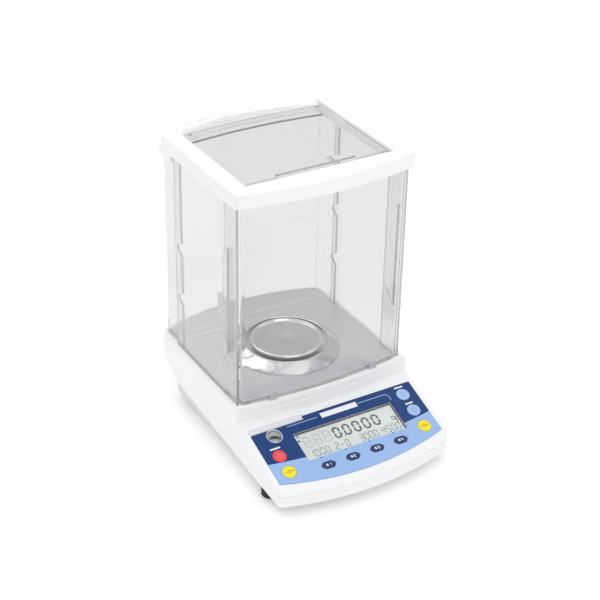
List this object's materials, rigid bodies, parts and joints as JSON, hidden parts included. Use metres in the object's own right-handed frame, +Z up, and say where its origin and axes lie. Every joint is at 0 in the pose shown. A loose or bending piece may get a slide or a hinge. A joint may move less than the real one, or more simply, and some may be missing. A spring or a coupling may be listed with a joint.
{
  "type": "analytical balance",
  "caption": "Laboratory analytical balance: sloping keypad and display in front of a clear draft shield with two sliding doors and a sliding lid over a round pan.",
  "frame": {"origin": "middle of the bounding box, on the table under the feet", "axes": "+Z up, +Y to the rear, +X to the right of a person who faces the keypad"},
  "size_m": [0.213, 0.3062, 0.328],
  "materials": {
    "housing_white": "moulded white ABS, fine satin texture",
    "base_grey": "light grey moulded base pan",
    "clear_panel": "clear cast panel with bright polished edges",
    "clip_grey": "small translucent retaining clips",
    "overlay_blue": "printed polyester membrane, dark and light blue",
    "label_blank": "blank rating plate",
    "display_glass": "display window",
    "lcd_grey": "reflective liquid crystal display",
    "key_red": "red membrane key",
    "key_yellow": "yellow membrane key",
    "key_pale_blue": "pale blue membrane key",
    "key_dark_blue": "dark blue membrane key",
    "level_metal": "turned level housing",
    "level_fluid": "spirit level vial",
    "floor_steel": "brushed stainless floor plate",
    "pan_steel": "brushed stainless pan with a bright rim",
    "ring_polished": "polished draft ring",
    "rubber_black": "black feet",
    "screw_steel": "zinc plated screws",
    "circuit_board": "green circuit board",
    "cast_aluminium": "machined aluminium",
    "magnet_steel": "nickel plated steel",
    "weight_chrome": "polished calibration weight",
    "lifter_grey": "moulded lifter",
    "connector_grey": "rear connector plate",
    "jack_black": "low-voltage inlet",
    "port_steel": "plated port shells"
  },
  "bodies": {
    "balance": {"upper_housing": "housing_white", "base_pan": "base_grey", "housing_screw_1": "screw_steel", "housing_screw_2": "screw_steel", "housing_screw_3": "screw_steel", "housing_screw_4": "screw_steel", "rear_foot_left": "rubber_black", "rear_foot_right": "rubber_black", "keypad_overlay": "overlay_blue", "label_plate": "label_blank", "display_window": "display_glass", "lcd_module": "lcd_grey", "display_board": "circuit_board", "level_ring": "level_metal", "level_vial": "level_fluid", "front_panel": "clear_panel", "rear_hood": "clear_panel", "top_frame": "housing_white", "panel_clip_left": "clip_grey", "panel_clip_right": "clip_grey", "floor_plate": "floor_steel", "cell_bed": "cast_aluminium", "weigh_cell": "cast_aluminium", "magnet_pot": "magnet_steel", "calibration_motor": "magnet_steel", "main_board": "circuit_board", "power_board": "circuit_board", "connector_plate": "connector_grey", "power_jack": "jack_black", "serial_port": "port_steel", "data_port": "port_steel"},
    "left_door": {"left_door": "clear_panel"},
    "right_door": {"right_door": "clear_panel"},
    "top_lid": {"top_lid": "clear_panel"},
    "power_key": {"power_key": "key_red"},
    "tare_key_left": {"tare_key_left": "key_yellow"},
    "tare_key_right": {"tare_key_right": "key_yellow"},
    "print_key": {"print_key": "key_pale_blue"},
    "menu_key": {"menu_key": "key_pale_blue"},
    "soft_key_1": {"soft_key_1": "key_dark_blue"},
    "soft_key_2": {"soft_key_2": "key_dark_blue"},
    "soft_key_3": {"soft_key_3": "key_dark_blue"},
    "soft_key_4": {"soft_key_4": "key_dark_blue"},
    "left_foot": {"levelling_foot_left": "rubber_black"},
    "right_foot": {"levelling_foot_right": "rubber_black"},
    "receptor": {"load_receptor": "cast_aluminium", "pan_support": "cast_aluminium"},
    "pan": {"weighing_pan": "pan_steel"},
    "draft_ring": {"breeze_ring": "ring_polished"},
    "calibration": {"calibration_weight": "weight_chrome", "calibration_lifter": "lifter_grey"}
  },
  "joints": [
    {"name": "left_door_slide", "type": "slide", "parent": "balance", "child": "left_door", "axis": [0, 1, 0], "range_m": [0, 0.105]},
    {"name": "right_door_slide", "type": "slide", "parent": "balance", "child": "right_door", "axis": [0, 1, 0], "range_m": [0, 0.105]},
    {"name": "lid_slide", "type": "slide", "parent": "balance", "child": "top_lid", "axis": [0, 1, 0], "range_m": [0, 0.105]},
    {"name": "power_key_press", "type": "slide", "parent": "balance", "child": "power_key", "axis": [0, 0.3219, -0.9468], "range_m": [0, 0.0006], "stiffness_N_per_m": 900},
    {"name": "tare_key_left_press", "type": "slide", "parent": "balance", "child": "tare_key_left", "axis": [0, 0.3219, -0.9468], "range_m": [0, 0.0006], "stiffness_N_per_m": 900},
    {"name": "tare_key_right_press", "type": "slide", "parent": "balance", "child": "tare_key_right", "axis": [0, 0.3219, -0.9468], "range_m": [0, 0.0006], "stiffness_N_per_m": 900},
    {"name": "print_key_press", "type": "slide", "parent": "balance", "child": "print_key", "axis": [0, 0.3219, -0.9468], "range_m": [0, 0.0006], "stiffness_N_per_m": 900},
    {"name": "menu_key_press", "type": "slide", "parent": "balance", "child": "menu_key", "axis": [0, 0.3219, -0.9468], "range_m": [0, 0.0006], "stiffness_N_per_m": 900},
    {"name": "soft_key_1_press", "type": "slide", "parent": "balance", "child": "soft_key_1", "axis": [0, 0.3219, -0.9468], "range_m": [0, 0.0006], "stiffness_N_per_m": 900},
    {"name": "soft_key_2_press", "type": "slide", "parent": "balance", "child": "soft_key_2", "axis": [0, 0.3219, -0.9468], "range_m": [0, 0.0006], "stiffness_N_per_m": 900},
    {"name": "soft_key_3_press", "type": "slide", "parent": "balance", "child": "soft_key_3", "axis": [0, 0.3219, -0.9468], "range_m": [0, 0.0006], "stiffness_N_per_m": 900},
    {"name": "soft_key_4_press", "type": "slide", "parent": "balance", "child": "soft_key_4", "axis": [0, 0.3219, -0.9468], "range_m": [0, 0.0006], "stiffness_N_per_m": 900},
    {"name": "left_foot_turn", "type": "hinge", "parent": "balance", "child": "left_foot", "pos_m": [-0.0925, -0.09694, 0], "axis": [0, 0, 1], "continuous": true},
    {"name": "right_foot_turn", "type": "hinge", "parent": "balance", "child": "right_foot", "pos_m": [0.0925, -0.09694, 0], "axis": [0, 0, 1], "continuous": true},
    {"name": "receptor_travel", "type": "slide", "parent": "balance", "child": "receptor", "axis": [0, 0, -1], "range_m": [0, 0.0004], "stiffness_N_per_m": 20000},
    {"name": "pan_lift_off", "type": "slide", "parent": "receptor", "child": "pan", "axis": [0, 0, 1], "range_m": [0, 0.03]},
    {"name": "ring_lift_off", "type": "slide", "parent": "balance", "child": "draft_ring", "axis": [0, 0, 1], "range_m": [0, 0.03]},
    {"name": "calibration_lower", "type": "slide", "parent": "balance", "child": "calibration", "axis": [0, 0, -1], "range_m": [0, 0.0015]}
  ]
}
